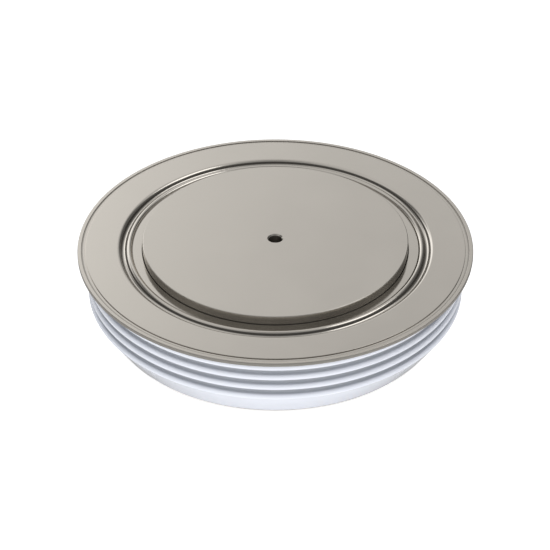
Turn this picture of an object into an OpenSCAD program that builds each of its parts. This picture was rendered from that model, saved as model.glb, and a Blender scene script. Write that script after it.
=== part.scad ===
// Disc-type rectifier diode: a silicon wafer pressed between two copper pole
// pieces, in a ribbed ceramic ring that two thin corrugated diaphragms close.
// All sizes are in millimetres. The origin is the centre of the lower contact
// face, and +Z points along the axis to the upper contact face.

/* [Housing] */
// Height between the two contact faces
height = 26; // [24.5:0.1:30]
// Height of the upper contact face over the flange around it
top_pole_rise = 1.9; // [1.2:0.1:2.6]
// Height of the lower contact face under the flange around it
bottom_pole_rise = 1.7; // [1.2:0.1:2.4]
// Thickness of the weld ring under the upper diaphragm
weld_ring_t = 0.6; // [0.5:0.05:1]
// Height of the lip that stands round the edge of the upper diaphragm
weld_lip_h = 0.45; // [0.2:0.05:0.5]
// Width of that lip
weld_lip_w = 1.1; // [0.7:0.05:2]
// Width of the groove between the upper diaphragm and the lip
weld_groove_w = 1.1; // [0.4:0.05:1.5]
// Radius that rounds the outer edges of the weld ring
weld_ring_edge_r = 0.2; // [0.1:0.05:0.3]
// Radial gap between the bend of the diaphragm and the weld ring's hole
weld_ring_gap = 0.4; // [0.2:0.1:1]
// Thickness of the braze layers
braze_t = 0.1; // [0.05:0.01:0.2]

/* [Pole pieces] */
// Diameter of the contact faces
pole_d = 75; // [60:0.5:90]
// Radius that rounds the edge of a contact face
pole_edge_r = 0.25; // [0.1:0.05:0.7]
// Distance that the shoulder's edge stays back from the end of the ledge on it
shoulder_inset = 0.5; // [0.3:0.1:1.5]
// Height of the lower shoulder, from the diaphragm to the step over it
bottom_shoulder_h = 4.6; // [3.5:0.1:4.8]
// Height of the upper boss, from the wafer stack to its shoulder
top_boss_h = 3; // [2:0.1:4]
// Distance that the bosses' edge stays back from the contact face's edge
boss_inset = 1.5; // [1:0.1:4]
// Thickness of the lower pole piece
bottom_pole_h = 9.4; // [9:0.1:10]

/* [Centring holes] */
// Diameter of the centring hole in each contact face
hole_d = 3.7; // [3:0.1:5]
// Depth of the straight wall of a centring hole
hole_depth = 2.2; // [1.5:0.1:4]
// Width of the chamfer round the mouth of a centring hole
hole_chamfer = 0.4; // [0.1:0.05:0.8]

/* [Diaphragms] */
// Thickness of the diaphragm sheet
sheet_t = 0.5; // [0.3:0.05:0.6]
// Radial gap between a pole piece and the hole of its diaphragm
pole_gap = 0.05; // [0.02:0.01:0.2]
// Width of the flat ledge round the pole piece
ledge_w = 2.7; // [2:0.05:4]
// Drop from the flange to the ledge
ledge_drop = 0.8; // [0.6:0.05:1]
// Inside radius between the ledge and the bead
ledge_fillet_r = 0.3; // [0.2:0.05:0.4]
// Outside radius of the bead
bead_r = 0.92; // [0.8:0.01:1]
// Inside radius of the trough
trough_r = 0.75; // [0.6:0.05:0.85]
// Outside radius of the bend at the flange
bend_r = 1.15; // [0.9:0.05:1.25]
// Steepest slope of the corrugation, in degrees
wave_angle = 66; // [55:1:70]
// Width of the flat flange of the upper diaphragm
flange_w = 9.05; // [6:0.05:14]

/* [Ceramic ring] */
// Radial gap between the bend of the diaphragm and the bore
bore_gap = 0.1; // [0.05:0.05:0.6]
// Wall between the bore and the bottom of the grooves
ceramic_wall = 6.7; // [5:0.1:8]
// Number of ribs
rib_count = 4; // [2:1:5]
// Radius of a rib's rounded tip
rib_tip_r = 0.85; // [0.6:0.05:1.1]
// Radius of the groove between two ribs
groove_r = 0.775; // [0.6:0.025:1.1]
// Width of the flat flank between a groove and a tip
rib_flank_w = 0.2; // [0.05:0.05:1]
// Height of the plain neck over the first groove
neck_h = 1.1; // [0.2:0.05:1.5]
// Width of the lower end face
ceramic_foot_w = 3.3; // [2:0.1:5]
// Width of the chamfer inside each end of the bore
ceramic_chamfer = 0.3; // [0.1:0.05:0.5]
// Distance that the lower diaphragm stays back from the edge of the ceramic
foot_margin = 0.5; // [0.2:0.1:1]

/* [Wafer stack] */
// Distance that the wafer reaches out past the contact faces
wafer_margin = 0.5; // [-1:0.1:1.5]
// Thickness of the silicon wafer
wafer_t = 0.7; // [0.4:0.05:1]
// Angle between the ground edge of the wafer and its face, in degrees
wafer_bevel = 35; // [30:1:50]
// Thickness of the lower molybdenum disc, as wide as the wafer
lower_disc_t = 3; // [2:0.1:3.5]
// Thickness of the upper molybdenum disc
upper_disc_t = 2; // [1.2:0.1:2.5]
// Distance that the upper disc stays back from the edge of the wafer's face
upper_disc_inset = 1.5; // [1:0.1:4]
// Thickness of the silver foils
foil_t = 0.2; // [0.1:0.05:0.3]
// Radial gap between the upper molybdenum disc and the rubber
rubber_gap = 0.2; // [0.1:0.05:0.3]
// Thickness of the rubber over the upper face of the wafer
rubber_over = 1.2; // [0.6:0.1:1.6]
// Depth of the rubber over the side of the lower molybdenum disc
rubber_skirt = 0.8; // [0.3:0.1:0.9]
// Width of the rubber outside the wafer
rubber_w = 1.7; // [1:0.1:2]
// Width of the centring ring outside the wafer
centring_w = 2.2; // [1.5:0.1:3]
// Gap between the centring ring and the pieces that it centres
centring_gap = 0.1; // [0.05:0.01:0.2]

/* [Hidden] */
$fn = 180;

// Steps in a small arc of an outline
arc_steps = 10;
// Half of the angle at the tip of the drill that makes a centring hole
drill_half_angle = 59;

nickel = [0.74, 0.72, 0.69];
ceramic_white = [0.95, 0.96, 0.98];
braze_silver = [0.80, 0.79, 0.74];
silver = [0.86, 0.86, 0.85];
molybdenum = [0.52, 0.53, 0.55];
silicon = [0.25, 0.27, 0.32];
rubber_clear = [0.90, 0.89, 0.84];
fluoropolymer = [0.96, 0.96, 0.94];

// Levels of the housing, counted from the lower contact face
flange_z = height - top_pole_rise;
weld_ring_seat_z = flange_z - sheet_t;
ceramic_top_z = weld_ring_seat_z - weld_ring_t - braze_t;
ceramic_foot_z = bottom_pole_rise + sheet_t + braze_t;
top_shoulder_z = flange_z - ledge_drop - sheet_t - braze_t;
bottom_shoulder_z = bottom_pole_rise + ledge_drop + sheet_t + braze_t;
bottom_step_z = bottom_shoulder_z + bottom_shoulder_h;

// Levels of the wafer stack
lower_disc_z = bottom_pole_h + foil_t;
wafer_z = lower_disc_z + lower_disc_t;
upper_disc_z = wafer_z + wafer_t;
upper_foil_z = upper_disc_z + upper_disc_t;
top_pole_z = upper_foil_z + foil_t;

// Radii of the pole pieces, and of the hole and the flat ledge of a diaphragm
pole_r = pole_d / 2;
boss_r = pole_r - boss_inset;
sheet_hole_r = pole_r + pole_gap;
ledge_end_r = sheet_hole_r + ledge_w;
shoulder_r = ledge_end_r - shoulder_inset;

// Middles of the arcs that make the corrugation, from the ledge outwards. The
// flange lies at height 0, and each arc meets the next one without a kink.
bead_mid_z = (bend_r - bead_r) * cos(wave_angle) - bend_r;
ledge_mid = [ledge_end_r, ledge_fillet_r - ledge_drop];
ledge_angle = acos((ledge_mid[1] - bead_mid_z) / (bead_r + ledge_fillet_r));
bead_mid = [ledge_end_r + (bead_r + ledge_fillet_r) * sin(ledge_angle), bead_mid_z];
trough_mid = bead_mid + (trough_r + bead_r) * [sin(wave_angle), cos(wave_angle)];
bend_mid = trough_mid + (bend_r + trough_r) * [sin(wave_angle), -cos(wave_angle)];

// Radii of the flanges and of the ceramic ring, outwards from the bend
bend_start_r = bend_mid[0];
lid_r = bend_start_r + flange_w;
weld_ring_inner_r = bend_start_r + weld_ring_gap;
weld_lip_r = lid_r + weld_groove_w;
weld_ring_r = weld_lip_r + weld_lip_w;
bore_r = bend_start_r + bore_gap;
end_face_r = bore_r + ceramic_chamfer;
foot_r = bore_r + ceramic_foot_w;
bottom_lid_r = foot_r - foot_margin;

// The ribs are arcs round the middles of their tips and of the grooves
neck_r = bore_r + ceramic_wall;
groove_mid_r = neck_r + groove_r;
rib_mid_r = groove_mid_r + rib_flank_w;
half_pitch = groove_r + rib_tip_r;
function rib_z(i) = ceramic_top_z - neck_h - (2 * i + 1) * half_pitch;

// The last rib runs into a cone that touches its tip and ends at the foot
foot_drop = rib_z(rib_count - 1) - ceramic_foot_z;
foot_inset = rib_mid_r - foot_r;
foot_angle = asin(rib_tip_r / norm([foot_drop, foot_inset])) - atan2(foot_inset, foot_drop);

// The edge of the wafer is ground to a cone, narrower at the upper face
wafer_r = pole_r + wafer_margin;
wafer_top_r = wafer_r - wafer_t / tan(wafer_bevel);
upper_disc_r = wafer_top_r - upper_disc_inset;

// Points on an arc round a middle, from one angle to another
function arc(middle, r, from, to, steps = arc_steps) = [
    for (i = [0:steps])
        let (a = from + (to - from) * i / steps)
            middle + r * [cos(a), sin(a)]
];

function reversed(points) = [for (i = [len(points) - 1:-1:0]) points[i]];

// One face of the diaphragm sheet, at a depth under its upper face
function sheet_face(outer_r, depth) = concat(
    [[outer_r, -depth]],
    arc(bend_mid, bend_r - depth, 90, 90 + wave_angle),
    arc(trough_mid, trough_r + depth, wave_angle - 90, -90 - wave_angle, 2 * arc_steps),
    arc(bead_mid, bead_r - depth, 90 - wave_angle, 90 + ledge_angle, 2 * arc_steps),
    arc(ledge_mid, ledge_fillet_r + depth, ledge_angle - 90, -90),
    [[sheet_hole_r, -ledge_drop - depth]]
);

// Section of a diaphragm, with the upper face of its flange at height 0
module sheet_section(outer_r) {
    polygon(concat(sheet_face(outer_r, 0), reversed(sheet_face(outer_r, sheet_t))));
}

// Flat round layer of a ring, between two radii
module washer(inner_r, outer_r, z, t) {
    rotate_extrude() translate([inner_r, z]) square([outer_r - inner_r, t]);
}

// Section of a pole piece that stands on its contact face: contact rim,
// shoulder under the diaphragm, and boss towards the wafer stack
module pole_section(h, shoulder_z, boss_z) {
    hole_r = hole_d / 2;
    drill_tip = hole_r / tan(drill_half_angle);
    wall_end = hole_chamfer + hole_depth;
    polygon(concat(
        [[0, wall_end + drill_tip], [hole_r, wall_end], [hole_r, hole_chamfer]],
        [[hole_r + hole_chamfer, 0]],
        arc([pole_r - pole_edge_r, pole_edge_r], pole_edge_r, -90, 0),
        [[pole_r, shoulder_z], [shoulder_r, shoulder_z]],
        [[shoulder_r, boss_z], [boss_r, boss_z], [boss_r, h], [0, h]]
    ));
}

module top_pole_piece() {
    color(nickel)
        translate([0, 0, height]) mirror([0, 0, 1]) rotate_extrude()
            pole_section(
                height - top_pole_z,
                height - top_shoulder_z,
                height - top_pole_z - top_boss_h
            );
}

module bottom_pole_piece() {
    color(nickel)
        rotate_extrude() pole_section(bottom_pole_h, bottom_shoulder_z, bottom_step_z);
}

module top_diaphragm() {
    color(nickel)
        translate([0, 0, flange_z]) rotate_extrude() sheet_section(lid_r);
}

module bottom_diaphragm() {
    color(nickel)
        translate([0, 0, bottom_pole_rise]) mirror([0, 0, 1]) rotate_extrude()
            sheet_section(bottom_lid_r);
}

// The braze layers lie between the shoulders and the diaphragms' ledges
module top_pole_braze() {
    color(braze_silver)
        washer(sheet_hole_r, shoulder_r, top_shoulder_z, braze_t);
}

module bottom_pole_braze() {
    color(braze_silver)
        washer(sheet_hole_r, shoulder_r, bottom_shoulder_z - braze_t, braze_t);
}

// Flat seat under the diaphragm, and the lip round it with rounded outer edges
module weld_ring() {
    edge_x = weld_ring_r - weld_ring_edge_r;
    lip_top = weld_ring_t + weld_lip_h;
    color(nickel)
        translate([0, 0, weld_ring_seat_z - weld_ring_t]) rotate_extrude()
            polygon(concat(
                [[weld_ring_inner_r, 0]],
                arc([edge_x, weld_ring_edge_r], weld_ring_edge_r, -90, 0),
                arc([edge_x, lip_top - weld_ring_edge_r], weld_ring_edge_r, 0, 90),
                [[weld_lip_r, lip_top], [weld_lip_r, weld_ring_t]],
                [[weld_ring_inner_r, weld_ring_t]]
            ));
}

module weld_ring_braze() {
    color(braze_silver)
        washer(max(weld_ring_inner_r, end_face_r), neck_r, ceramic_top_z, braze_t);
}

module bottom_ring_braze() {
    color(braze_silver)
        washer(end_face_r, bottom_lid_r, ceramic_foot_z - braze_t, braze_t);
}

// Outline of the groove over rib i: its upper half comes down from the rib
// before, and its lower half runs into this rib
function groove_points(i, from, to) =
    arc([groove_mid_r, rib_z(i) + half_pitch], groove_r, from, to);
function tip_points(i, to) = arc([rib_mid_r, rib_z(i)], rib_tip_r, 90, to);

module ceramic_ring() {
    last = rib_count - 1;
    color(ceramic_white)
        rotate_extrude() polygon(concat(
            [[end_face_r, ceramic_top_z], [neck_r, ceramic_top_z]],
            groove_points(0, 180, 270),
            [for (i = [0:1:last - 1]) each concat(
                tip_points(i, -90), groove_points(i + 1, 90, 270)
            )],
            tip_points(last, foot_angle),
            [[foot_r, ceramic_foot_z], [end_face_r, ceramic_foot_z]],
            [[bore_r, ceramic_foot_z + ceramic_chamfer]],
            [[bore_r, ceramic_top_z - ceramic_chamfer]]
        ));
}

module lower_silver_foil() {
    color(silver)
        translate([0, 0, bottom_pole_h]) cylinder(r = boss_r, h = foil_t);
}

module upper_silver_foil() {
    color(silver)
        translate([0, 0, upper_foil_z]) cylinder(r = upper_disc_r, h = foil_t);
}

module lower_molybdenum_disc() {
    color(molybdenum)
        translate([0, 0, lower_disc_z]) cylinder(r = wafer_r, h = lower_disc_t);
}

module upper_molybdenum_disc() {
    color(molybdenum)
        translate([0, 0, upper_disc_z]) cylinder(r = upper_disc_r, h = upper_disc_t);
}

module silicon_wafer() {
    color(silicon)
        translate([0, 0, wafer_z]) cylinder(r1 = wafer_r, r2 = wafer_top_r, h = wafer_t);
}

// Rubber cast round the ground edge, over the rim of both faces
module edge_rubber() {
    inner_r = upper_disc_r + rubber_gap;
    outer_r = wafer_r + rubber_w;
    top_z = upper_disc_z + rubber_over;
    skirt_z = wafer_z - rubber_skirt;
    color(rubber_clear)
        rotate_extrude() polygon([
            [wafer_r, skirt_z], [outer_r, skirt_z], [outer_r, upper_disc_z],
            [wafer_top_r, top_z], [inner_r, top_z], [inner_r, upper_disc_z],
            [wafer_top_r, upper_disc_z], [wafer_r, wafer_z]
        ]);
}

// Ring that stands on the step of the lower pole piece, grips its boss, and
// holds the lower molybdenum disc in the middle with the lip on its top
module centring_ring() {
    outer_r = wafer_r + centring_w;
    lip_r = wafer_r + centring_gap;
    lip_z = lower_disc_z - centring_gap;
    top_z = wafer_z - rubber_skirt - centring_gap;
    color(fluoropolymer)
        rotate_extrude() polygon([
            [boss_r + centring_gap, bottom_step_z], [outer_r, bottom_step_z],
            [outer_r, top_z], [lip_r, top_z],
            [lip_r, lip_z], [boss_r + centring_gap, lip_z]
        ]);
}

top_pole_piece();
top_diaphragm();
top_pole_braze();
weld_ring();
weld_ring_braze();
ceramic_ring();
bottom_ring_braze();
bottom_diaphragm();
bottom_pole_braze();
bottom_pole_piece();
lower_silver_foil();
lower_molybdenum_disc();
silicon_wafer();
edge_rubber();
centring_ring();
upper_molybdenum_disc();
upper_silver_foil();
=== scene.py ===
"""Dresses the packed disc diode: pole pieces, corrugated diaphragms, weld ring and glazed ceramic ring."""
import math

import bpy
from mathutils import Matrix, Vector


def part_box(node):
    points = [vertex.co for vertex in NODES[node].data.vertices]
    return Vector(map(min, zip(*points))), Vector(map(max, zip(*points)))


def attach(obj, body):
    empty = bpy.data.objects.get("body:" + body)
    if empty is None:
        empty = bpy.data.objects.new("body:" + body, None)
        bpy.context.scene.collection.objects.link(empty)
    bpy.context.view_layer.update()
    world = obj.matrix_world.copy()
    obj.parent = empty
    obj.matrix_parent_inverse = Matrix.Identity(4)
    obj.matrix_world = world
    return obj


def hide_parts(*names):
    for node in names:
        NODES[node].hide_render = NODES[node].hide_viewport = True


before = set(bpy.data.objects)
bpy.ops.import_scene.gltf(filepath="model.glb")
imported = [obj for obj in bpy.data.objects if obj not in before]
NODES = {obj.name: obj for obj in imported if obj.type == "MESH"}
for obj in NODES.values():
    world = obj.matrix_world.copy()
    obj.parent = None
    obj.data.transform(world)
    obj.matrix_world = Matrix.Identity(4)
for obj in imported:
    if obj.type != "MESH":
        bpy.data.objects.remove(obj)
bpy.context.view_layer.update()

bl_info = {
    "name": "Disc Diode",
    "version": (1, 0, 0),
    "blender": (4, 5, 0),
    "location": "3D View > Sidebar > Disc Diode",
    "description": "Makes the visible pieces, the finishes and the stage of a disc-type rectifier diode",
    "category": "Object",
}

MM = 0.001
BODY = "root"

# Steps in an arc of an outline, in the small arc that breaks a sharp edge, and round the axis
ARC_STEPS = 14
EDGE_STEPS = 4
TURN_STEPS = 256
# Faces that meet at a larger angle keep a sharp edge in the shading
SHARP_ANGLE = math.radians(40)
# Points of a turned piece that are closer than this are merged
MERGE_DISTANCE = 0.001 * MM
# Distance from the end of a flat to the extra point that keeps its shading flat
FLAT_MARGIN = 0.06 * MM
# Gap between the lower contact face and the floor, so that the two don't share one plane
FLOOR_GAP = 0.02 * MM
# Half of the angle at the tip of the drill that makes a centring hole
DRILL_HALF_ANGLE = math.radians(59)


# Sizes and colours that a user would change

def length(name, description, size_mm, low_mm, high_mm):
    """A length property, with its default and limits given in millimetres."""
    return bpy.props.FloatProperty(
        name=name, description=description, default=size_mm * MM, min=low_mm * MM, max=high_mm * MM,
        unit="LENGTH", subtype="DISTANCE", precision=5,
    )


def colour(name, description, rgb):
    """A colour property."""
    return bpy.props.FloatVectorProperty(
        name=name, description=description, default=rgb, size=3, min=0, max=1, subtype="COLOR",
    )


def amount(name, description, value, low=0.0, high=1.0):
    """A plain number property."""
    return bpy.props.FloatProperty(
        name=name, description=description, default=value, min=low, max=high, subtype="FACTOR",
    )


class HousingSizes(bpy.types.PropertyGroup):
    """Levels of the housing, and the weld ring."""
    height: length("Height", "Height between the two contact faces", 26, 24.5, 30)
    top_pole_rise: length("Upper rise", "Height of the upper contact face over its flange", 1.9, 1.2, 2.6)
    bottom_pole_rise: length("Lower rise", "Height of the lower contact face under its flange", 1.7, 1.2, 2.4)
    weld_ring_t: length("Weld ring", "Thickness of the weld ring under the diaphragm", 0.6, 0.5, 1)
    weld_lip_h: length("Lip height", "Height of the lip that stands round the diaphragm", 0.45, 0.2, 0.5)
    weld_lip_w: length("Lip width", "Width of that lip", 1.1, 0.7, 2)
    weld_groove_w: length("Groove", "Width of the groove between the diaphragm and the lip", 1.1, 0.4, 1.5)
    weld_seam_h: length("Weld seam", "Height of the weld metal in that groove", 0.25, 0.1, 0.4)
    weld_ring_edge_r: length("Rim edge", "Radius that rounds the weld ring's outer edges", 0.2, 0.1, 0.3)
    weld_ring_gap: length("Weld ring gap", "Gap between the bend and the weld ring's hole", 0.4, 0.2, 1)
    braze_t: length("Braze", "Thickness of the braze layers", 0.1, 0.05, 0.2)


class PoleSizes(bpy.types.PropertyGroup):
    """Copper pole pieces and their centring holes."""
    pole_d: length("Contact face", "Diameter of the contact faces", 75, 60, 90)
    edge_r: length("Face edge", "Radius that rounds the edge of a contact face", 0.25, 0.1, 0.7)
    shoulder_inset: length("Shoulder inset", "From the shoulder's edge to the ledge's end", 0.5, 0.3, 1.5)
    bottom_shoulder_h: length("Lower shoulder", "Height of the lower shoulder", 4.6, 3.5, 4.8)
    top_boss_h: length("Upper boss", "Height of the upper boss", 3, 2, 4)
    boss_inset: length("Boss inset", "Distance from the bosses' edge to the face's edge", 1.5, 1, 4)
    top_h: length("Upper thickness", "Thickness of the upper pole piece", 10.5, 10, 11)
    bottom_h: length("Lower thickness", "Thickness of the lower pole piece", 9.4, 9, 10)
    hole_d: length("Hole", "Diameter of the centring holes", 3.7, 3, 5)
    hole_depth: length("Hole depth", "Depth of the straight wall of a centring hole", 2.2, 1.5, 4)
    hole_chamfer: length("Hole chamfer", "Width of the chamfer round a centring hole", 0.4, 0.1, 0.8)


class DiaphragmSizes(bpy.types.PropertyGroup):
    """Corrugated sheets between the pole pieces and the ceramic ring."""
    sheet_t: length("Sheet", "Thickness of the diaphragm sheet", 0.5, 0.3, 0.6)
    pole_gap: length("Pole gap", "Gap between a pole piece and its diaphragm", 0.05, 0.02, 0.2)
    ledge_w: length("Ledge", "Width of the flat ledge round the pole piece", 2.7, 2, 4)
    ledge_drop: length("Ledge drop", "Drop from the flange to the ledge", 0.8, 0.6, 1)
    ledge_fillet_r: length("Ledge fillet", "Inside radius between the ledge and the bead", 0.3, 0.2, 0.4)
    bead_r: length("Bead", "Outside radius of the bead", 0.92, 0.8, 1)
    trough_r: length("Trough", "Inside radius of the trough", 0.75, 0.6, 0.85)
    bend_r: length("Bend", "Outside radius of the bend at the flange", 1.15, 0.9, 1.25)
    wave_angle: bpy.props.FloatProperty(
        name="Wave slope", description="Steepest slope of the corrugation", default=math.radians(66),
        min=math.radians(55), max=math.radians(70), subtype="ANGLE", unit="ROTATION",
    )
    flange_w: length("Flange", "Width of the upper diaphragm's flat flange", 9.05, 6, 14)


class CeramicSizes(bpy.types.PropertyGroup):
    """Ribbed insulating ring."""
    bore_gap: length("Bore gap", "Gap between the bend and the bore", 0.1, 0.05, 0.6)
    wall: length("Wall", "Wall between the bore and the grooves", 6.7, 5, 8)
    rib_count: bpy.props.IntProperty(name="Ribs", description="Number of ribs", default=4, min=2, max=5)
    rib_tip_r: length("Rib tip", "Radius of a rib's rounded tip", 0.85, 0.6, 1.1)
    groove_r: length("Groove", "Radius of the groove between two ribs", 0.775, 0.6, 1.1)
    rib_flank_w: length("Rib flank", "Width of the flat flank between a groove and a tip", 0.2, 0.05, 1)
    neck_h: length("Neck", "Height of the plain neck over the first groove", 1.1, 0.2, 1.5)
    foot_w: length("Foot", "Width of the lower end face", 3.3, 2, 5)
    chamfer: length("Bore chamfer", "Width of the chamfer inside each end of the bore", 0.3, 0.1, 0.5)
    foot_margin: length("Foot margin", "Distance from the lower diaphragm to the ceramic's edge", 0.5, 0.2, 1)


class FinishColours(bpy.types.PropertyGroup):
    """Colours of the finishes."""
    pole_nickel: colour("Pole nickel", "Satin nickel plate on the turned pole pieces", (0.69, 0.65, 0.59))
    sheet_nickel: colour("Sheet nickel", "Semi-bright nickel plate on the diaphragms", (0.69, 0.65, 0.59))
    ring_nickel: colour("Ring nickel", "Semi-bright nickel plate on the weld ring", (0.69, 0.65, 0.59))
    braze: colour("Braze", "Matt silver-copper braze", (0.80, 0.77, 0.70))
    alumina: colour("Alumina", "White alumina under its glaze", (0.87, 0.90, 0.98))
    # Painted shade: a dark bluish colour laid into the ceramic's grooves, where shade falls
    groove_shade_colour: colour("Groove shade", "Bluish shade painted into the grooves", (0.42, 0.44, 0.48))
    silver: colour("Silver", "Soft rolled silver foil", (0.86, 0.86, 0.84))
    molybdenum: colour("Molybdenum", "Ground molybdenum", (0.50, 0.51, 0.53))
    silicon: colour("Silicon", "Polished silicon", (0.16, 0.18, 0.22))
    rubber: colour("Rubber", "Milky cast silicone rubber", (0.82, 0.80, 0.74))
    fluoropolymer: colour("Fluoropolymer", "Smooth white fluoropolymer", (0.88, 0.88, 0.86))


class StageSettings(bpy.types.PropertyGroup):
    """Camera, lamps and floor."""
    camera_lens: bpy.props.FloatProperty(
        name="Lens", description="Focal length of the camera on a 36 mm sensor", default=156.81,
        min=50, max=300, subtype="DISTANCE_CAMERA",
    )
    camera_distance: length("Camera distance", "From the camera to the flange's middle", 677.1, 300, 2000)
    camera_elevation: bpy.props.FloatProperty(
        name="Camera elevation", description="Angle of the camera over the flange",
        default=math.radians(34.5), min=0, max=math.radians(90), subtype="ANGLE", unit="ROTATION",
    )
    camera_drop: bpy.props.FloatProperty(
        name="Camera drop", description="Angle that the camera looks under the middle of the flange",
        default=math.radians(0.747), min=0, max=math.radians(5), subtype="ANGLE", unit="ROTATION",
    )
    camera_side: length("Camera side", "From the camera to the plane through the part's middle", 0.09, 0, 5)
    floor_size: length("Floor", "Side of the floor", 6000, 1000, 20000)
    floor_colour: colour("Floor colour", "Plain pale floor", (0.85, 0.85, 0.85))
    floor_white: amount("Floor white", "White that the camera sees beside the floor's own light", 0.8, 0, 1)
    floor_gloss: amount("Floor in gloss", "Share of that white that gloss shows", 0.1, 0, 1)
    floor_glow: amount("Floor glow", "Share of that white that lights the part from below", 0.55, 0, 1)
    sky_top: amount("Sky top", "Brightness of the soft light from straight above", 0.4, 0, 3)
    sky_front: amount("Sky front", "Brightness of the soft light behind the camera", 0.6, 0, 3)
    sky_back: amount("Sky back", "Brightness of the soft light behind the part", 0.5, 0, 3)


GROUPS = {
    "housing": HousingSizes,
    "poles": PoleSizes,
    "diaphragms": DiaphragmSizes,
    "ceramic": CeramicSizes,
    "finishes": FinishColours,
    "stage": StageSettings,
}


def settings(group):
    """The property group of this name, from the scene."""
    return getattr(bpy.context.scene, "diode_" + group)


# Node trees, for shapes and for finishes

class Field:
    """A value on a node's socket. Arithmetic on numbers adds Math nodes."""

    def __init__(self, tree, socket):
        self.tree = tree
        self.socket = socket

    def __add__(self, other):
        return self.tree.math("ADD", self, other)

    def __radd__(self, other):
        return self.tree.math("ADD", other, self)

    def __sub__(self, other):
        return self.tree.math("SUBTRACT", self, other)

    def __rsub__(self, other):
        return self.tree.math("SUBTRACT", other, self)

    def __mul__(self, other):
        return self.tree.math("MULTIPLY", self, other)

    def __rmul__(self, other):
        return self.tree.math("MULTIPLY", other, self)

    def __truediv__(self, other):
        return self.tree.math("DIVIDE", self, other)

    def __rtruediv__(self, other):
        return self.tree.math("DIVIDE", other, self)

    def __pow__(self, other):
        return self.tree.math("POWER", self, other)

    def __mod__(self, other):
        return self.tree.math("FLOORED_MODULO", self, other)


def find_socket(sockets, key):
    """A socket by its place, its identifier or its name."""
    if isinstance(key, int):
        return sockets[key]
    for socket in sockets:
        if key in (socket.identifier, socket.name):
            return socket
    raise KeyError(f"no socket {key}")


class Tree:
    """A node tree that is being built."""

    def __init__(self, tree):
        self.tree = tree
        self.tree.nodes.clear()

    def add(self, kind, options=None, inputs=None, result=0):
        """Adds a node: its options first, then the values or links of its sockets. Gives a result."""
        node = self.tree.nodes.new(kind)
        for name, value in (options or {}).items():
            setattr(node, name, value)
        for key, value in (inputs or {}).items():
            socket = find_socket(node.inputs, key)
            if isinstance(value, Field):
                self.tree.links.new(value.socket, socket)
            else:
                socket.default_value = value
        return Field(self, find_socket(node.outputs, result)) if node.outputs else node

    def math(self, operation, first, second=None):
        """A Math node on one value or two."""
        values = [value for value in (first, second) if value is not None]
        return self.add("ShaderNodeMath", {"operation": operation}, dict(enumerate(values)))

    def between(self, value, low, high, start=0.0, end=1.0):
        """Turns a range of a value smoothly into another range."""
        return self.add(
            "ShaderNodeMapRange", {"interpolation_type": "SMOOTHSTEP"},
            {"Value": value, "From Min": low, "From Max": high, "To Min": start, "To Max": end},
        )

    def mix(self, factor, first, second):
        """Mixes two colours."""
        return self.add(
            "ShaderNodeMix", {"data_type": "RGBA"},
            {"Factor_Float": factor, "A_Color": first, "B_Color": second}, "Result_Color",
        )

    def scaled(self, vector, factor):
        """A vector times a number."""
        return self.add("ShaderNodeVectorMath", {"operation": "SCALE"}, {"Vector": vector, "Scale": factor})

    def parts(self, vector):
        """The X, Y and Z of a vector."""
        outputs = self.add("ShaderNodeSeparateXYZ", None, {"Vector": vector}).socket.node.outputs
        return [Field(self, outputs[axis]) for axis in "XYZ"]

    def rays(self, kind):
        """A value that is 1 on the light rays of one kind, and 0 on all others."""
        return self.add("ShaderNodeLightPath", None, None, f"Is {kind} Ray")


WHITE = (1.0, 1.0, 1.0, 1.0)


def opaque(rgb):
    """A colour for a socket."""
    return (*rgb, 1.0)


def shade(rgb, factor):
    """A colour made lighter or darker."""
    return opaque(min(1.0, part * factor) for part in rgb)


# Outlines: lists of points (radius, height) round the section of a round piece

def arc(middle, radius, start, end, steps=ARC_STEPS):
    """Points on an arc round a middle, between two angles in radians."""
    return [
        (middle[0] + radius * math.cos(angle), middle[1] + radius * math.sin(angle))
        for angle in (start + (end - start) * i / steps for i in range(steps + 1))
    ]


def broken_edge(before, corner, after, radius):
    """Points that round a corner between two straight lines."""
    corner = Vector(corner)
    one = (Vector(before) - corner).normalized()
    two = (Vector(after) - corner).normalized()
    half = one.angle(two) / 2
    middle = corner + (one + two).normalized() * radius / math.sin(half)
    start = corner + one * radius / math.tan(half) - middle
    turn = start.angle_signed(corner + two * radius / math.tan(half) - middle)
    return [
        tuple(middle + Matrix.Rotation(-turn * i / EDGE_STEPS, 2) @ start) for i in range(EDGE_STEPS + 1)
    ]


def with_edges(points, radii_mm):
    """Rounds the corners whose place in the list has a radius, given in millimetres."""
    count = len(points)
    outline = []
    for i, point in enumerate(points):
        if i in radii_mm:
            outline += broken_edge(points[i - 1], point, points[(i + 1) % count], radii_mm[i] * MM)
        else:
            outline.append(point)
    return outline


def with_flats(points, closed):
    """Adds a point beside both ends of each straight line, so that smooth shading leaves it flat."""
    outline = []
    last = len(points) if closed else len(points) - 1
    for i in range(last):
        here, there = Vector(points[i]), Vector(points[(i + 1) % len(points)])
        outline.append(tuple(here))
        span = (there - here).length
        if span > 3 * FLAT_MARGIN:
            step = (there - here) * FLAT_MARGIN / span
            outline += [tuple(here + step), tuple(there - step)]
    return outline if closed else outline + [points[-1]]


def turned_over(points, height):
    """The same outline upside down, mirrored at half of a height."""
    return [(radius, height - level) for radius, level in reversed(points)]


def raised(points, height):
    """The same outline, lifted."""
    return [(radius, level + height) for radius, level in points]


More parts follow.
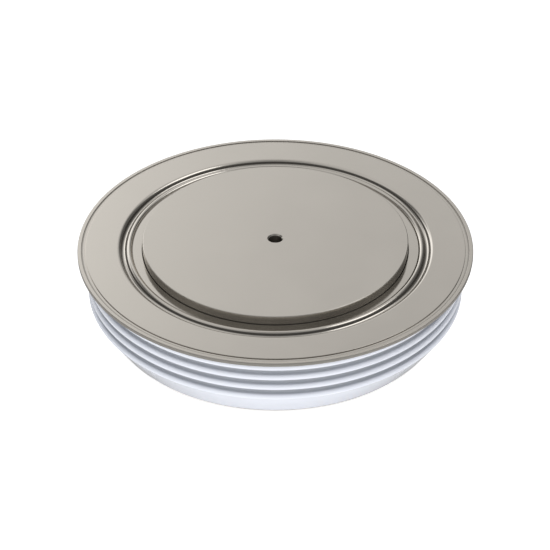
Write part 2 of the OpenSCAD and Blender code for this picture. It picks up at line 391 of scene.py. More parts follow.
class Section:
    """Radii, levels and outlines that follow from the sizes."""

    def __init__(self):
        self.housing = housing = settings("housing")
        self.poles = poles = settings("poles")
        self.sheet = sheet = settings("diaphragms")
        self.ceramic = ceramic = settings("ceramic")

        self.flange_z = housing.height - housing.top_pole_rise
        self.ring_seat_z = self.flange_z - sheet.sheet_t
        self.ceramic_top_z = self.ring_seat_z - housing.weld_ring_t - housing.braze_t
        self.ceramic_foot_z = housing.bottom_pole_rise + sheet.sheet_t + housing.braze_t

        self.pole_r = poles.pole_d / 2
        self.sheet_hole_r = self.pole_r + sheet.pole_gap
        ledge_end_r = self.sheet_hole_r + sheet.ledge_w
        self.shoulder_r = ledge_end_r - poles.shoulder_inset

        slope = sheet.wave_angle
        bead_z = (sheet.bend_r - sheet.bead_r) * math.cos(slope) - sheet.bend_r
        self.ledge_mid = Vector((ledge_end_r, sheet.ledge_fillet_r - sheet.ledge_drop))
        reach = sheet.bead_r + sheet.ledge_fillet_r
        self.ledge_angle = math.acos((self.ledge_mid.y - bead_z) / reach)
        self.bead_mid = Vector((ledge_end_r + reach * math.sin(self.ledge_angle), bead_z))
        up_slope = Vector((math.sin(slope), math.cos(slope)))
        down_slope = Vector((math.sin(slope), -math.cos(slope)))
        self.trough_mid = self.bead_mid + (sheet.trough_r + sheet.bead_r) * up_slope
        self.bend_mid = self.trough_mid + (sheet.bend_r + sheet.trough_r) * down_slope

        bead_end_r = self.bead_mid.x + sheet.bead_r * math.sin(slope)
        trough_end_r = self.trough_mid.x + sheet.trough_r * math.sin(slope)
        # Creases of the sheet, which get painted shade: a radius, and how dark that shade is
        self.creases = (
            (self.sheet_hole_r, 1.0), (ledge_end_r + 0.2 * MM, 0.45), (bead_end_r, 1.0), (trough_end_r, 1.0),
        )

        bend_start_r = self.bend_mid.x
        self.lid_r = bend_start_r + sheet.flange_w
        self.ring_inner_r = bend_start_r + housing.weld_ring_gap
        self.lip_r = self.lid_r + housing.weld_groove_w
        self.ring_r = self.lip_r + housing.weld_lip_w
        self.bore_r = bend_start_r + ceramic.bore_gap
        self.foot_r = self.bore_r + ceramic.foot_w
        self.bottom_lid_r = self.foot_r - ceramic.foot_margin
        self.neck_r = self.bore_r + ceramic.wall
        self.groove_mid_r = self.neck_r + ceramic.groove_r
        self.rib_mid_r = self.groove_mid_r + ceramic.rib_flank_w
        self.rib_tip_x = self.rib_mid_r + ceramic.rib_tip_r
        self.half_pitch = ceramic.groove_r + ceramic.rib_tip_r
        self.last_rib_z = self.rib_z(ceramic.rib_count - 1)

    def rib_z(self, rib):
        """Height of a rib's middle, counted from the uppermost rib."""
        return self.ceramic_top_z - self.ceramic.neck_h - (2 * rib + 1) * self.half_pitch

    def pole(self, height, shoulder_z, boss_z):
        """Outline of a pole piece that stands on its contact face."""
        poles = self.poles
        hole_r, chamfer = poles.hole_d / 2, poles.hole_chamfer
        wall_end = chamfer + poles.hole_depth
        drill_tip = wall_end + hole_r / math.tan(DRILL_HALF_ANGLE)
        boss_r = self.pole_r - poles.boss_inset
        hole = [(0, drill_tip), (hole_r, wall_end), (hole_r, chamfer), (hole_r + chamfer, 0)]
        face_edge = arc((self.pole_r - poles.edge_r, poles.edge_r), poles.edge_r, -math.pi / 2, 0)
        shoulder = [
            (self.pole_r, shoulder_z), (self.shoulder_r, shoulder_z), (self.shoulder_r, boss_z),
            (boss_r, boss_z), (boss_r, height), (0, height),
        ]
        outline = hole + face_edge + shoulder
        first = len(hole) + len(face_edge)
        corners = {2: 0.05, 3: 0.05, first + 1: 0.1, first + 2: 0.1, first + 4: 0.1}
        return with_flats(with_edges(outline, corners), closed=False)

    def diaphragm(self, outer_r):
        """Outline of a diaphragm, with the upper face of its flange at height 0."""
        sheet = self.sheet
        slope, ledge, quarter = sheet.wave_angle, self.ledge_angle, math.pi / 2

        def face(depth):
            trough_r, bead_r = sheet.trough_r + depth, sheet.bead_r - depth
            return (
                [(outer_r, -depth)]
                + arc(self.bend_mid, sheet.bend_r - depth, quarter, quarter + slope)
                + arc(self.trough_mid, trough_r, slope - quarter, -quarter - slope, 2 * ARC_STEPS)
                + arc(self.bead_mid, bead_r, quarter - slope, quarter + ledge, 2 * ARC_STEPS)
                + arc(self.ledge_mid, sheet.ledge_fillet_r + depth, ledge - quarter, -quarter)
                + [(self.sheet_hole_r, -sheet.ledge_drop - depth)]
            )

        upper, lower = face(0), face(sheet.sheet_t)
        outline = upper + lower[::-1]
        corners = {0: 0.1, len(upper) - 1: 0.2, len(upper): 0.08, len(outline) - 1: 0.12}
        return with_flats(with_edges(outline, corners), closed=True)

    def weld_ring(self):
        """Outline of the weld ring: the flat seat of the diaphragm, and the lip round it."""
        edge_r, seat = self.housing.weld_ring_edge_r, self.housing.weld_ring_t
        lip_top = seat + self.housing.weld_lip_h
        edge_x, quarter = self.ring_r - edge_r, math.pi / 2
        outline = (
            [(self.ring_inner_r, 0)]
            + arc((edge_x, edge_r), edge_r, -quarter, 0)
            + arc((edge_x, lip_top - edge_r), edge_r, 0, quarter)
            + [(self.lip_r, lip_top), (self.lip_r, seat), (self.ring_inner_r, seat)]
        )
        last = len(outline) - 1
        corners = {0: 0.1, last - 2: 0.08, last - 1: 0.1, last: 0.1}
        return with_flats(with_edges(outline, corners), closed=True)

    def weld_seam(self):
        """Outline of the weld metal that has run flat in the groove, from the diaphragm's edge to the lip."""
        height = self.housing.weld_seam_h
        corners = [(self.lid_r, 0), (self.lip_r, 0), (self.lip_r, height), (self.lid_r, height)]
        return with_flats(corners, closed=True)

    def ceramic_ring(self):
        """Outline of the ceramic ring: ribs and grooves, then a cone down to the foot."""
        ceramic = self.ceramic
        quarter = math.pi / 2
        rib_mid_r, half_pitch = self.rib_mid_r, self.half_pitch
        end_face_r = self.bore_r + ceramic.chamfer
        top, foot = self.ceramic_top_z, self.ceramic_foot_z

        outline = [(end_face_r, top), (self.neck_r, top)]
        for rib in range(ceramic.rib_count):
            rib_z = self.rib_z(rib)
            upper_end = 2 * quarter if rib == 0 else quarter
            groove_mid = (self.groove_mid_r, rib_z + half_pitch)
            outline += arc(groove_mid, ceramic.groove_r, upper_end, 3 * quarter)
            if rib < ceramic.rib_count - 1:
                outline += arc((rib_mid_r, rib_z), ceramic.rib_tip_r, quarter, -quarter, 2 * ARC_STEPS)
        drop, inset = rib_z - foot, rib_mid_r - self.foot_r
        # The cone touches the last rib's tip at this angle
        foot_angle = math.asin(ceramic.rib_tip_r / math.hypot(drop, inset)) - math.atan2(inset, drop)
        outline += arc((rib_mid_r, rib_z), ceramic.rib_tip_r, quarter, foot_angle, 2 * ARC_STEPS)
        foot_corner = len(outline)
        outline += [
            (self.foot_r, foot), (end_face_r, foot),
            (self.bore_r, foot + ceramic.chamfer), (self.bore_r, top - ceramic.chamfer),
        ]
        corners = {1: 0.06, foot_corner: 0.25}
        return with_flats(with_edges(outline, corners), closed=True)


# The node group that turns an outline about the axis

def turning_group():
    """Builds the group that turns an outline into a closed, smooth body of revolution."""
    group = bpy.data.node_groups.new("turned body", "GeometryNodeTree")
    kinds = {
        "Outline": "NodeSocketGeometry",
        "Closed": "NodeSocketInt",
        "Segments": "NodeSocketInt",
        "Sharp Angle": "NodeSocketFloat",
        "Merge Distance": "NodeSocketFloat",
        "Finish": "NodeSocketMaterial",
    }
    for name, kind in kinds.items():
        group.interface.new_socket(name=name, in_out="INPUT", socket_type=kind)
    group.interface.new_socket(name="Body", in_out="OUTPUT", socket_type="NodeSocketGeometry")

    tree = Tree(group)
    given = tree.add("NodeGroupInput").socket.node.outputs
    outline, closed, segments, sharp_angle, merge, finish = (Field(tree, given[i]) for i in range(len(kinds)))
    count = tree.add(
        "GeometryNodeAttributeDomainSize", {"component": "MESH"}, {"Geometry": outline}, "Point Count",
    )
    columns = segments + 1
    grid = tree.add(
        "GeometryNodeMeshGrid", None,
        {"Size X": 1.0, "Size Y": 1.0, "Vertices X": count + closed, "Vertices Y": columns}, "Mesh",
    )
    index = tree.add("GeometryNodeInputIndex")
    row = tree.math("FLOOR", (index + 0.5) / columns)
    column = index - row * columns
    position = tree.add("GeometryNodeInputPosition")
    point = tree.add(
        "GeometryNodeSampleIndex", {"data_type": "FLOAT_VECTOR", "domain": "POINT"},
        {"Geometry": outline, "Value": position, "Index": row % count},
    )
    radius, _, height = tree.parts(point)
    turn = column * (math.tau / segments)
    place = tree.add("ShaderNodeCombineXYZ", None, {
        "X": radius * tree.math("COSINE", turn),
        "Y": radius * tree.math("SINE", turn),
        "Z": height,
    })
    body = tree.add("GeometryNodeSetPosition", None, {"Geometry": grid, "Position": place})
    body = tree.add("GeometryNodeMergeByDistance", None, {"Geometry": body, "Distance": merge})
    edge_angle = tree.add("GeometryNodeInputMeshEdgeAngle", None, None, "Unsigned Angle")
    blunt = tree.add(
        "FunctionNodeCompare", {"data_type": "FLOAT", "operation": "LESS_THAN"},
        {"A": edge_angle, "B": sharp_angle},
    )
    for domain, smooth in (("FACE", True), ("EDGE", blunt)):
        body = tree.add(
            "GeometryNodeSetShadeSmooth", {"domain": domain}, {"Geometry": body, "Shade Smooth": smooth},
        )
    body = tree.add("GeometryNodeRealizeInstances", None, {"Geometry": body})
    body = tree.add("GeometryNodeSetMaterial", None, {"Geometry": body, "Material": finish})
    tree.add("NodeGroupOutput", None, {"Body": body})
    return group


def turned(name, outline, finish, node, closed=True):
    """Turns an outline into a piece, which replaces a node of the frame where one is named."""
    if len(outline) < 3:
        raise RuntimeError(f"{name} has no outline")
    area = sum(a[0] * b[1] - b[0] * a[1] for a, b in zip(outline, outline[1:] + outline[:1]))
    if area > 0:
        outline = outline[::-1]
    line = bpy.data.meshes.new(name + "_outline")
    line.from_pydata([(r, 0, z) for r, z in outline], [(i, i + 1) for i in range(len(outline) - 1)], [])
    draft = bpy.data.objects.new(name + "_draft", line)
    bpy.context.scene.collection.objects.link(draft)
    group = bpy.data.node_groups.get("turned body") or turning_group()
    modifier = draft.modifiers.new("turned body", "NODES")
    modifier.node_group = group
    values = {
        "Closed": int(closed),
        "Segments": TURN_STEPS,
        "Sharp Angle": SHARP_ANGLE,
        "Merge Distance": MERGE_DISTANCE,
        "Finish": finish,
    }
    for item in group.interface.items_tree:
        if item.name in values:
            modifier[item.identifier] = values[item.name]
    graph = bpy.context.evaluated_depsgraph_get()
    mesh = bpy.data.meshes.new_from_object(draft.evaluated_get(graph), depsgraph=graph)
    bpy.data.objects.remove(draft)
    bpy.data.meshes.remove(line)
    mesh.name = name
    piece = bpy.data.objects.new(name, mesh)
    bpy.context.scene.collection.objects.link(piece)
    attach(piece, BODY)
    if node:
        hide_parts(node)
    return piece


# Finishes

class Finish(Tree):
    """A material that is being built, with the object's coordinates in millimetres."""

    def __init__(self, name):
        self.material = bpy.data.materials.new(name)
        self.material.use_nodes = True
        super().__init__(self.material.node_tree)
        coordinates = self.add("ShaderNodeTexCoord", None, None, "Object")
        self.place = self.scaled(coordinates, 1 / MM)
        self.x, self.y, self.z = self.parts(self.place)
        self.radius = (self.x * self.x + self.y * self.y) ** 0.5

    def noise(self, scale, detail=2.0, roughness=0.5):
        """Grey noise from 0 to 1; the scale is in steps for each millimetre."""
        return self.add(
            "ShaderNodeTexNoise", None,
            {"Vector": self.place, "Scale": scale, "Detail": detail, "Roughness": roughness},
        )

    def lines(self, across, scale, detail=2.0, roughness=0.5):
        """Grey noise that changes only across the lines that it draws."""
        return self.add(
            "ShaderNodeTexNoise", {"noise_dimensions": "1D"},
            {"W": across, "Scale": scale, "Detail": detail, "Roughness": roughness},
        )

    def rings(self, scale, detail=2.0):
        """Lines that change with the radius and the height, as turning leaves them."""
        return self.lines(self.radius + self.z, scale, detail, 0.6)

    def varied(self, noise, low, high):
        """Turns noise, which lies mostly between 0.3 and 0.7, into a value between two others."""
        return self.between(noise, 0.3, 0.7, low, high)

    def bump(self, height, distance_mm, under=None):
        """Turns a height from 0 to 1 into a normal, on top of another normal where one is given."""
        inputs = {"Height": height, "Distance": distance_mm * MM, "Strength": 1.0}
        if under is not None:
            inputs["Normal"] = under
        return self.add("ShaderNodeBump", None, inputs)

    def done(self, **inputs):
        """Ends the material in one surface shader and returns it."""
        named = {key.replace("_", " ").title(): value for key, value in inputs.items()}
        surface = self.add("ShaderNodeBsdfPrincipled", None, named)
        self.add("ShaderNodeOutputMaterial", None, {"Surface": surface})
        return self.material


def nickel(name, roughness, ring_depth_mm, grain_depth_mm, matt, painted_shade):
    """Nickel plate: faint patches, turning rings, the grain of the metal under it, and a matt zone that is
    darkened with painted shade.
    """
    finish = Finish(name)
    rgb = getattr(settings("finishes"), name)
    patch, spread, matt_roughness = 0.05, 0.03, 0.25
    patches = finish.noise(0.06, 3)
    grain = finish.noise(4.0, 3, 0.6)
    rings = finish.rings(5.0, 3)
    normal = finish.bump(rings, ring_depth_mm)
    normal = finish.bump(grain, grain_depth_mm, under=normal)
    gloss = finish.varied(patches * 0.7 + grain * 0.3, roughness - spread, roughness + spread)
    plate = finish.mix(patches, shade(rgb, 1 - patch), shade(rgb, 1 + patch))
    zone = matt(finish)
    return finish.done(
        # Painted shade: the colour in the matt zone is darkened
        base_color=finish.mix(zone, plate, shade(rgb, painted_shade)),
        metallic=1.0,
        roughness=gloss + zone * matt_roughness,
        normal=normal,
    )


def pole_nickel():
    """Satin nickel on the turned pole pieces, matt and darkened with painted shade in the drilled holes and
    on the wall by the joint with the sheet.
    """
    section = Section()
    hole_r = section.poles.hole_d / 2 / MM
    low = (section.housing.bottom_pole_rise + section.sheet.ledge_drop) / MM
    high = (section.flange_z - section.sheet.ledge_drop) / MM
    # Width in which the painted shade of the hole fades out
    hole_fade = 0.1
    # Distance past the joint up to which the wall has full painted shade, and from which it has none
    wall_shade_full, wall_shade_none = 0.1, 0.5

    # Painted shade on the hole's wall and on the pole's wall at the joint with the sheet
    def matt(finish):
        drilled = finish.between(finish.radius, hole_r, hole_r + hole_fade, 1.0, 0.0)
        above_low = finish.between(finish.z, low - wall_shade_none, low - wall_shade_full)
        under_high = finish.between(finish.z, high + wall_shade_full, high + wall_shade_none, 1.0, 0.0)
        return finish.math("MAXIMUM", drilled, above_low * under_high)

    return nickel("pole_nickel", 0.2, ring_depth_mm=0.001, grain_depth_mm=0.0008, matt=matt, painted_shade=0.45)


def sheet_nickel():
    """Semi-bright nickel on the pressed sheet, matt and darkened with painted shade in the joint at the pole
    and in the creases.
    """
    creases = Section().creases
    # Distance from a crease up to which the sheet has full painted shade, and beyond which it has none
    crease_shade_full, crease_shade_none = 0.08, 0.3

    # Painted shade along the creases and at the joint at the pole
    def matt(finish):
        zone = 0.0
        for radius, darkness in creases:
            away = finish.math("ABSOLUTE", finish.radius - radius / MM)
            zone = zone + finish.between(away, crease_shade_full, crease_shade_none, darkness, 0.0)
        return zone

    return nickel("sheet_nickel", 0.14, ring_depth_mm=0.0003, grain_depth_mm=0.0006, matt=matt, painted_shade=0.25)


def ring_nickel():
    """Semi-bright nickel on the weld ring, matt and darkened with painted shade on the turned outer side and
    in the groove by the lip.
    """
    section = Section()
    side = (section.ring_r - section.housing.weld_ring_edge_r) / MM
    lip = section.lip_r / MM
    # Distance from the lip at which the groove has no painted shade, and at which it has full painted shade
    seam_shade_none, seam_shade_full = 0.5, 0.3
    # Width in which the groove's painted shade ends at the lip, and in which the outer side's painted shade
    # sets in
    lip_fade, side_fade = 0.05, 0.15

    # Painted shade in the groove by the lip and on the outer side
    def matt(finish):
        groove = finish.between(finish.radius, lip - seam_shade_none, lip - seam_shade_full)
        groove = groove * finish.between(finish.radius, lip, lip + lip_fade, 1.0, 0.0)
        return finish.math("MAXIMUM", groove, finish.between(finish.radius, side, side + side_fade))

    return nickel("ring_nickel", 0.18, ring_depth_mm=0.001, grain_depth_mm=0.0008, matt=matt, painted_shade=0.7)


def glazed_alumina():
    """White alumina: a clear gloss glaze on the ribs, bare and matt on both end faces, with painted shade in
    the grooves.
    """
    finish = Finish("glazed_alumina")
    section = Section()
    top, foot = section.ceramic_top_z / MM, section.ceramic_foot_z / MM
    tip_r, last_rib_z = section.rib_tip_x / MM, section.last_rib_z / MM
    # Depth behind the ribs' tips at which the painted groove shade is full, and at which it is faint
    groove_shade_depth, groove_shade_faint = 1.5, 0.05
    # Height under the middle of the last rib at which the painted groove shade ends
    groove_shade_end = 0.3
    # Height under the top and over the foot at which the ceramic is bare, and at which it is glazed
    top_bare, top_glazed = 0.02, 0.12
    foot_bare, foot_glazed = 0.05, 0.35
    # Painted shade: the grooves between the ribs are darkened to a bluish grey, down to the last rib
    groove_shade = finish.between(finish.radius, tip_r - groove_shade_depth, tip_r - groove_shade_faint, 1.0, 0.0)
    groove_shade = groove_shade * finish.between(finish.z, last_rib_z - groove_shade_end, last_rib_z)
    clouds = finish.noise(0.08, 3)
    waves = finish.noise(0.5, 1)
    grain = finish.noise(9.0, 2)
    below_top = finish.between(finish.z, top - top_glazed, top - top_bare, 1.0, 0.0)
    above_foot = finish.between(finish.z, foot + foot_bare, foot + foot_glazed)
    glaze = below_top * above_foot
    rgb = settings("finishes").alumina
    body = finish.mix(clouds, shade(rgb, 0.985), shade(rgb, 1.015))
    normal = finish.bump(waves, 0.006)
    return finish.done(
        base_color=finish.mix(groove_shade, body, opaque(settings("finishes").groove_shade_colour)),
        roughness=finish.between(glaze * 0.9 + grain * 0.1, 0.0, 1.0, 0.6, 0.14),
        coat_weight=glaze,
        coat_roughness=0.05,
        normal=normal,
    )


def braze():
    """Silver-copper braze that has run and set matt."""
    finish = Finish("braze")
    rgb = settings("finishes").braze
    flow = finish.noise(0.8, 3)
    return finish.done(
        base_color=finish.mix(flow, shade(rgb, 0.9), shade(rgb, 1.05)),
        metallic=1.0,
        roughness=finish.varied(flow, 0.34, 0.5),
        normal=finish.bump(finish.noise(3.0, 3), 0.01),
    )


def silver():
    """Soft silver foil with the fine lines of the rolls along it."""
    finish = Finish("silver")
    rgb = settings("finishes").silver
    lines = finish.lines(finish.y, 6.0, 3.0)
    return finish.done(
        base_color=finish.mix(lines, shade(rgb, 0.95), shade(rgb, 1.03)),
        metallic=1.0,
        roughness=finish.varied(lines, 0.24, 0.34),
        normal=finish.bump(lines, 0.002),
    )


def molybdenum():
    """Grey molybdenum, ground in straight lines."""
    finish = Finish("molybdenum")
    rgb = settings("finishes").molybdenum
    lines = finish.lines(finish.x, 9.0, 4.0)
    return finish.done(
        base_color=finish.mix(lines, shade(rgb, 0.92), shade(rgb, 1.06)),
        metallic=1.0,
        roughness=finish.varied(lines, 0.36, 0.48),
        normal=finish.bump(lines, 0.004),
    )


def silicon():
    """Polished silicon with a matt ground edge."""
    finish = Finish("silicon")
    low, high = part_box("silicon_wafer")
    rgb = settings("finishes").silicon
    reach = (high.x - low.x) / 2 / MM
    # Distance from the wafer's edge at which it is polished, and at which it is ground
    polished, fully_ground = 1.2, 0.9
    ground = finish.between(finish.radius, reach - polished, reach - fully_ground)
    grain = finish.noise(8.0, 2)
    return finish.done(
        base_color=finish.mix(ground, shade(rgb, 1.0), shade(rgb, 1.3)),
        metallic=0.6,
        roughness=finish.between(ground * 0.9 + grain * 0.1, 0.0, 1.0, 0.08, 0.5),
        normal=finish.bump(grain * ground, 0.004),
    )


def silicone_rubber():
    """Milky rubber, cast round the wafer's edge."""
    finish = Finish("silicone_rubber")
    rgb = settings("finishes").rubber
    clouds = finish.noise(0.3, 3)
    return finish.done(
        base_color=finish.mix(clouds, shade(rgb, 0.95), shade(rgb, 1.04)),
        roughness=finish.varied(clouds, 0.38, 0.5),
        normal=finish.bump(finish.noise(1.0, 2), 0.02),
    )


def fluoropolymer():
    """Smooth white plastic with faint turning marks."""
    finish = Finish("fluoropolymer")
    rgb = settings("finishes").fluoropolymer
    rings = finish.rings(4.0)
    return finish.done(
        base_color=finish.mix(finish.noise(0.2), shade(rgb, 0.97), shade(rgb, 1.02)),
        roughness=finish.varied(rings, 0.32, 0.42),
        normal=finish.bump(rings, 0.003),
    )


# What the inner nodes of the frame are made of
INNER_FINISHES = {
    braze: ("top_pole_braze", "weld_ring_braze", "bottom_ring_braze", "bottom_pole_braze"),
    silver: ("lower_silver_foil", "upper_silver_foil"),
    molybdenum: ("lower_molybdenum_disc", "upper_molybdenum_disc"),
    silicon: ("silicon_wafer",),
    silicone_rubber: ("edge_rubber",),
    fluoropolymer: ("centring_ring",),
}


# Stage: floor, lamps and camera

# Width of the camera's sensor in millimetres, as Blender counts it
SENSOR_WIDTH = 36


def floor_finish():
    """Pale floor, white to the camera, with the object's shadow on it, and clear from below."""
    stage = settings("stage")
    finish = Finish("floor")
    seen = finish.math("MAXIMUM", finish.rays("Camera"), finish.rays("Transmission"))
    seen = finish.math("MAXIMUM", seen, finish.rays("Glossy") * stage.floor_gloss)
    seen = finish.math("MAXIMUM", seen, finish.rays("Diffuse") * stage.floor_glow)
    paper = finish.add("ShaderNodeBsdfDiffuse", None, {"Color": opaque(stage.floor_colour)})
    glow = finish.add("ShaderNodeEmission", None, {"Color": WHITE, "Strength": seen * stage.floor_white})
    both = finish.add("ShaderNodeAddShader", None, {0: paper, 1: glow})
    clear = finish.add("ShaderNodeBsdfTransparent")
    below = finish.add("ShaderNodeNewGeometry", None, None, "Backfacing")
    surface = finish.add("ShaderNodeMixShader", None, {0: below, 1: both, 2: clear})
    finish.add("ShaderNodeOutputMaterial", None, {"Surface": surface})
    return finish.material


def studio_room(tree, side, depth, up):
    """Brightness of the room in the metal: a far wall with a panel, dark sides, a low front, a ceiling."""
    far_wall, dark_left, dark_right, low_front = 0.66, 0.17, 0.13, 0.62
    panel_level, ceiling_level, zenith = 0.75, 0.5, 0.6
    # Height at which a leaning edge stands at its given angle, and how far it leans
    lean_height, lean_slope = 0.42, math.radians(130)

    def sector(angle, first, last, start, end):
        return tree.between(angle, math.radians(first), math.radians(last), start, end)

    # Up is 0 at the horizon and 1 straight above; depth is 1 at the far wall and -1 behind the camera.
    # Turn is 0 at the far wall and grows to the right; lean is the same for an edge that leans.
    turn = tree.math("ARCTAN2", side, depth)
    lean = turn - (up - lean_height) * lean_slope
    left = sector(lean, -68, -36, dark_left, far_wall)
    right = sector(turn, 6, 33, far_wall, dark_right)
    wall = tree.math("MINIMUM", left, right) * tree.between(up, 0.5, 0.68, 1.0, 0.76)
    front = tree.between(depth, -0.1, 0.45, low_front, 0.0) * tree.between(up, 0.36, 0.5, 1.0, 0.0)
    wall = tree.math("MAXIMUM", wall, front)

    panel = sector(turn, -21, 5, panel_level, 0.0) * sector(lean, -44, -32, 0.0, 1.0)
    panel = panel * tree.between(up, 0.58, 0.68, 1.0, 0.0)
    wall_height = tree.between(up, 0.0, 0.38, 0.05, 1.0)

    ceiling = ceiling_level + depth * 0.3 - depth * depth * 0.2 - side * 0.15
    ceiling = ceiling * tree.between(up, 0.97, 0.99, 1.0, zenith)
    above = tree.between(up, 0.62, 0.74)
    return (wall + panel) * wall_height * (1 - above) + ceiling * above


def world_light():
    """Even soft light, with a white background and a studio round the gloss of the metal."""
    stage = settings("stage")
    world = bpy.data.worlds.new("studio")
    world.use_nodes = True
    bpy.context.scene.world = world
    tree = Tree(world.node_tree)
    side, depth, up = tree.parts(tree.add("ShaderNodeTexCoord", None, None, "Generated"))
    gloss = tree.rays("Glossy")
    seen = tree.math("MAXIMUM", tree.rays("Camera"), tree.rays("Transmission"))
    horizon = tree.between(depth, -0.7, 0.7, stage.sky_front, stage.sky_back)
    height = tree.between(up, 0.0, 1.0)
    soft = horizon * (1 - height) + stage.sky_top * height
    lit = gloss * studio_room(tree, side, depth, up) + (1 - gloss) * soft
    level = seen + (1 - seen) * lit
    sky = tree.add("ShaderNodeBackground", None, {"Color": WHITE, "Strength": level})
    tree.add("ShaderNodeOutputWorld", None, {"Surface": sky})


def soft_box(name, azimuth, elevation, distance, width, height, level, in_gloss=True):
    """A soft box that looks at the middle of the part. Azimuth 0 is +X, and 90 is +Y."""
    light = bpy.data.lights.new(name, "AREA")
    light.shape = "RECTANGLE"
    light.size = width
    light.size_y = height
    light.energy = level * math.pi * width * height
    lamp = bpy.data.objects.new(name, light)
    flat = math.cos(math.radians(elevation))
    away = Vector((
        flat * math.cos(math.radians(azimuth)),
        flat * math.sin(math.radians(azimuth)),
        math.sin(math.radians(elevation)),
    ))
    lamp.location = away * distance
    lamp.rotation_euler = away.to_track_quat("Z", "Y").to_euler()
    lamp.visible_glossy = in_gloss
    bpy.context.scene.collection.objects.link(lamp)


def camera():
    """The camera, at the photograph's angle over the flange."""
    stage = settings("stage")
    data = bpy.data.cameras.new("camera")
    data.lens = stage.camera_lens
    data.sensor_width = SENSOR_WIDTH
    data.clip_start = 0.01
    view = bpy.data.objects.new("camera", data)
    elevation = stage.camera_elevation
    view.location = (
        -stage.camera_side,
        -stage.camera_distance * math.cos(elevation),
        stage.camera_distance * math.sin(elevation) + Section().flange_z,
    )
    view.rotation_euler = (math.pi / 2 - elevation - stage.camera_drop, 0, 0)
    bpy.context.scene.collection.objects.link(view)
    bpy.context.scene.camera = view


# Operators: one for each piece or group of like pieces, and one for the stage

class DIODE_OT_pole_pieces(bpy.types.Operator):
    """Turn both pole pieces, with their contact faces and centring holes"""
    bl_idname = "diode.pole_pieces"
    bl_label = "Pole Pieces"

    def execute(self, context):
        section = Section()
        housing, poles, sheet = section.housing, section.poles, section.sheet
        finish = pole_nickel()
        shoulder = sheet.ledge_drop + sheet.sheet_t + housing.braze_t
        top = section.pole(poles.top_h, housing.top_pole_rise + shoulder, poles.top_h - poles.top_boss_h)
        top = turned_over(top, housing.height)
        turned("upper_pole", top, finish, "top_pole_piece", closed=False)
        bottom_shoulder_z = housing.bottom_pole_rise + shoulder
        bottom = section.pole(poles.bottom_h, bottom_shoulder_z, bottom_shoulder_z + poles.bottom_shoulder_h)
        turned("lower_pole", bottom, finish, "bottom_pole_piece", closed=False)
        return {"FINISHED"}


class DIODE_OT_diaphragms(bpy.types.Operator):
    """Press both corrugated diaphragms"""
    bl_idname = "diode.diaphragms"
    bl_label = "Diaphragms"

    def execute(self, context):
        section = Section()
        finish = sheet_nickel()
        top = raised(section.diaphragm(section.lid_r), section.flange_z)
        turned("upper_diaphragm", top, finish, "top_diaphragm")
        bottom = turned_over(section.diaphragm(section.bottom_lid_r), section.housing.bottom_pole_rise)
        turned("lower_diaphragm", bottom, finish, "bottom_diaphragm")
        return {"FINISHED"}


class DIODE_OT_weld_ring(bpy.types.Operator):
    """Turn the weld ring with its rounded rim, and run the weld seam in its groove"""
    bl_idname = "diode.weld_ring"
    bl_label = "Weld Ring"

    def execute(self, context):
        section = Section()
        finish = ring_nickel()
        outline = raised(section.weld_ring(), section.ring_seat_z - section.housing.weld_ring_t)
        turned("rim_ring", outline, finish, "weld_ring")
        turned("weld_seam", raised(section.weld_seam(), section.ring_seat_z), finish, None)
        return {"FINISHED"}


class DIODE_OT_ceramic_ring(bpy.types.Operator):
    """Form the glazed ceramic ring with its ribs"""
    bl_idname = "diode.ceramic_ring"
    bl_label = "Ceramic Ring"

    def execute(self, context):
        outline = Section().ceramic_ring()
        turned("ribbed_ceramic", outline, glazed_alumina(), "ceramic_ring")
        return {"FINISHED"}


class DIODE_OT_inner_finishes(bpy.types.Operator):
    """Give the braze layers and the wafer stack their finishes"""
    bl_idname = "diode.inner_finishes"
    bl_label = "Inner Finishes"

    def execute(self, context):
        for make, names in INNER_FINISHES.items():
            material = make()
            for name in names:
                piece = NODES[name]
                for place in piece.material_slots:
                    place.material = material
        return {"FINISHED"}


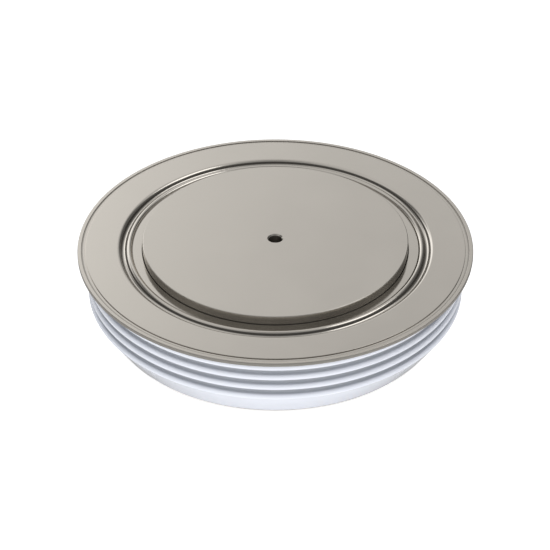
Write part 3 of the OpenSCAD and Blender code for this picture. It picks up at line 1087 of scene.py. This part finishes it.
class DIODE_OT_stage(bpy.types.Operator):
    """Set up the floor, the lamps and the camera"""
    bl_idname = "diode.stage"
    bl_label = "Stage"

    def execute(self, context):
        half, level = settings("stage").floor_size / 2, -FLOOR_GAP
        mesh = bpy.data.meshes.new("floor")
        corners = [(-half, -half, level), (half, -half, level), (half, half, level), (-half, half, level)]
        mesh.from_pydata(corners, [], [(0, 1, 2, 3)])
        mesh.materials.append(floor_finish())
        floor = bpy.data.objects.new("floor", mesh)
        context.scene.collection.objects.link(floor)
        world_light()
        soft_box(
            "front_box", azimuth=262, elevation=13, distance=1.3, width=3.2, height=0.5, level=2.1,
            in_gloss=False,
        )
        soft_box("top_box", azimuth=17, elevation=61, distance=1.2, width=0.62, height=0.5, level=1.3)
        camera()
        context.scene.view_settings.view_transform = "Standard"
        return {"FINISHED"}


class DIODE_PT_panel(bpy.types.Panel):
    """Lists the sizes, the colours and the operators"""
    bl_label = "Disc Diode"
    bl_idname = "DIODE_PT_panel"
    bl_space_type = "VIEW_3D"
    bl_region_type = "UI"
    bl_category = "Disc Diode"

    def draw(self, context):
        for group, kind in GROUPS.items():
            box = self.layout.box()
            box.label(text=kind.__doc__)
            for name in kind.__annotations__:
                box.prop(getattr(context.scene, "diode_" + group), name)
        for operator in OPERATORS:
            self.layout.operator(operator.bl_idname)


OPERATORS = (
    DIODE_OT_pole_pieces,
    DIODE_OT_diaphragms,
    DIODE_OT_weld_ring,
    DIODE_OT_ceramic_ring,
    DIODE_OT_inner_finishes,
    DIODE_OT_stage,
)


def register():
    """Registers the property groups, the operators and the panel."""
    for group, kind in GROUPS.items():
        bpy.utils.register_class(kind)
        setattr(bpy.types.Scene, "diode_" + group, bpy.props.PointerProperty(type=kind))
    for kind in (*OPERATORS, DIODE_PT_panel):
        bpy.utils.register_class(kind)


def unregister():
    """Takes back what register did."""
    for kind in reversed((*OPERATORS, DIODE_PT_panel)):
        bpy.utils.unregister_class(kind)
    for group, kind in GROUPS.items():
        delattr(bpy.types.Scene, "diode_" + group)
        bpy.utils.unregister_class(kind)


def main():
    """Registers the classes, then makes every piece and the stage."""
    register()
    bpy.ops.diode.pole_pieces()
    bpy.ops.diode.diaphragms()
    bpy.ops.diode.weld_ring()
    bpy.ops.diode.ceramic_ring()
    bpy.ops.diode.inner_finishes()
    bpy.ops.diode.stage()


if __name__ == "__main__":
    main()
